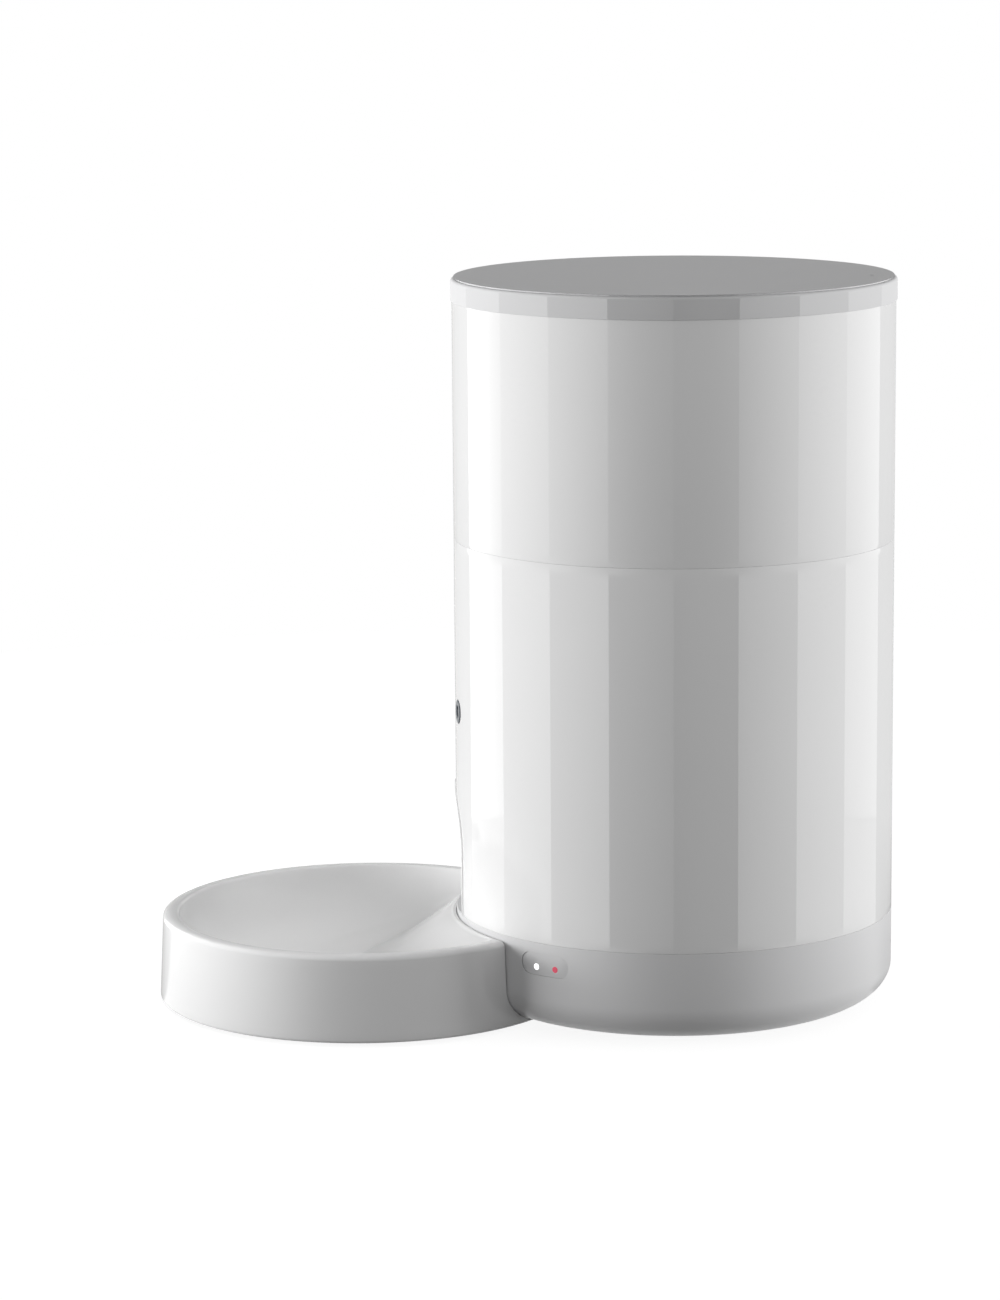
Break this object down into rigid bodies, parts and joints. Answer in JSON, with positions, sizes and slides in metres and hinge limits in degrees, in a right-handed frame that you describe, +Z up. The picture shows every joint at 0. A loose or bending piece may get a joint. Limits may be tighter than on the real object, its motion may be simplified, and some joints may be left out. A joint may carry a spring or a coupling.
{
  "type": "pet feeder with camera",
  "caption": "Round free-standing pet feeder: white body with arched food outlet and camera window, grey base and lid, lift-off food tank, turning rotor and a pull-off bowl.",
  "frame": {"origin": "on the axis of the round body, in the plane of its feet and of the middle pad", "axes": "+Z up, -Y towards the front with the bowl and the outlet, +X to the side that carries the indicator panel"},
  "size_m": [0.181, 0.3046, 0.3],
  "materials": {
    "white_shell": "gloss",
    "grey_shell": "gloss",
    "natural_plastic": "satin",
    "dark_plastic": "matte",
    "gear_plastic": "satin",
    "board": "satin",
    "rubber": "matte",
    "silicone": "matte",
    "steel": "satin",
    "brass": "satin",
    "lens_glass": "gloss",
    "light_white": "gloss",
    "light_red": "gloss",
    "desiccant_fabric": "matte"
  },
  "bodies": {
    "housing": {"base_tub": "grey_shell", "lower_shell": "white_shell", "deck": "natural_plastic", "chute": "white_shell", "chute_sensors": "dark_plastic", "gearbox_case": "dark_plastic", "motor": "steel", "output_bush": "brass", "link_pin": "steel", "main_board": "board", "camera_window": "lens_glass", "camera_ring": "dark_plastic", "camera_barrel": "dark_plastic", "camera_board": "board", "camera_bracket": "natural_plastic", "speaker": "dark_plastic", "microphone": "dark_plastic", "indicator_panel": "grey_shell", "white_light": "light_white", "red_light": "light_red", "indicator_board": "board", "power_inlet": "steel", "rear_board": "board", "button_switch": "dark_plastic", "feet": "rubber", "base_screws": "steel", "battery_box": "dark_plastic", "battery_cells": "steel", "battery_contacts": "steel"},
    "tank": {"hopper_shell": "white_shell", "hopper_bin": "natural_plastic", "hopper_funnel": "natural_plastic", "rotor_well": "natural_plastic", "well_floor": "natural_plastic", "outlet_baffle": "natural_plastic", "wipers": "silicone"},
    "rotor": {"rotor": "natural_plastic", "paddle_tips": "silicone", "agitator": "natural_plastic"},
    "output_drive": {"output_gear": "gear_plastic"},
    "link_drive": {"link_gear": "gear_plastic"},
    "motor_drive": {"motor_pinion": "brass"},
    "lid": {"lid": "grey_shell", "lid_seal": "silicone", "desiccant_box": "white_shell", "desiccant_pack": "desiccant_fabric"},
    "desiccant_cover": {"desiccant_cover": "white_shell"},
    "bowl": {"bowl": "white_shell", "bowl_pads": "rubber"},
    "battery_door": {"battery_door": "grey_shell", "door_pad": "rubber"},
    "reset_button": {"reset_button": "grey_shell"}
  },
  "joints": [
    {"name": "tank_lift", "type": "slide", "parent": "housing", "child": "tank", "axis": [0, 0, 1], "range_m": [0, 0.12]},
    {"name": "lid_lift", "type": "slide", "parent": "tank", "child": "lid", "axis": [0, 0, 1], "range_m": [0, 0.08]},
    {"name": "desiccant_pull", "type": "slide", "parent": "lid", "child": "desiccant_cover", "axis": [0, 0, -1], "range_m": [0, 0.02]},
    {"name": "rotor_spin", "type": "hinge", "parent": "tank", "child": "rotor", "pos_m": [0, 0, 0.12], "axis": [0, 0, 1], "continuous": true},
    {"name": "output_spin", "type": "hinge", "parent": "housing", "child": "output_drive", "pos_m": [0, 0, 0.095], "axis": [0, 0, 1], "continuous": true},
    {"name": "link_spin", "type": "hinge", "parent": "housing", "child": "link_drive", "pos_m": [0, 0.027, 0.09], "axis": [0, 0, 1], "continuous": true},
    {"name": "motor_spin", "type": "hinge", "parent": "housing", "child": "motor_drive", "pos_m": [0, 0.051, 0.088], "axis": [0, 0, 1], "continuous": true},
    {"name": "bowl_pull", "type": "slide", "parent": "housing", "child": "bowl", "axis": [0, -1, 0], "range_m": [0, 0.12]},
    {"name": "battery_door_swing", "type": "hinge", "parent": "housing", "child": "battery_door", "pos_m": [0, 0.0251, 0.003], "axis": [1, 0, 0], "range_deg": [0, 100]},
    {"name": "reset_press", "type": "slide", "parent": "housing", "child": "reset_button", "axis": [0, -1, 0], "range_m": [0, 0.0008], "stiffness_N_per_m": 1200}
  ],
  "couplings": [
    {"joint": "output_spin", "follows": "rotor_spin", "ratio": 1},
    {"joint": "link_spin", "follows": "rotor_spin", "ratio": -2.8571},
    {"joint": "motor_spin", "follows": "rotor_spin", "ratio": 8.5714}
  ]
}
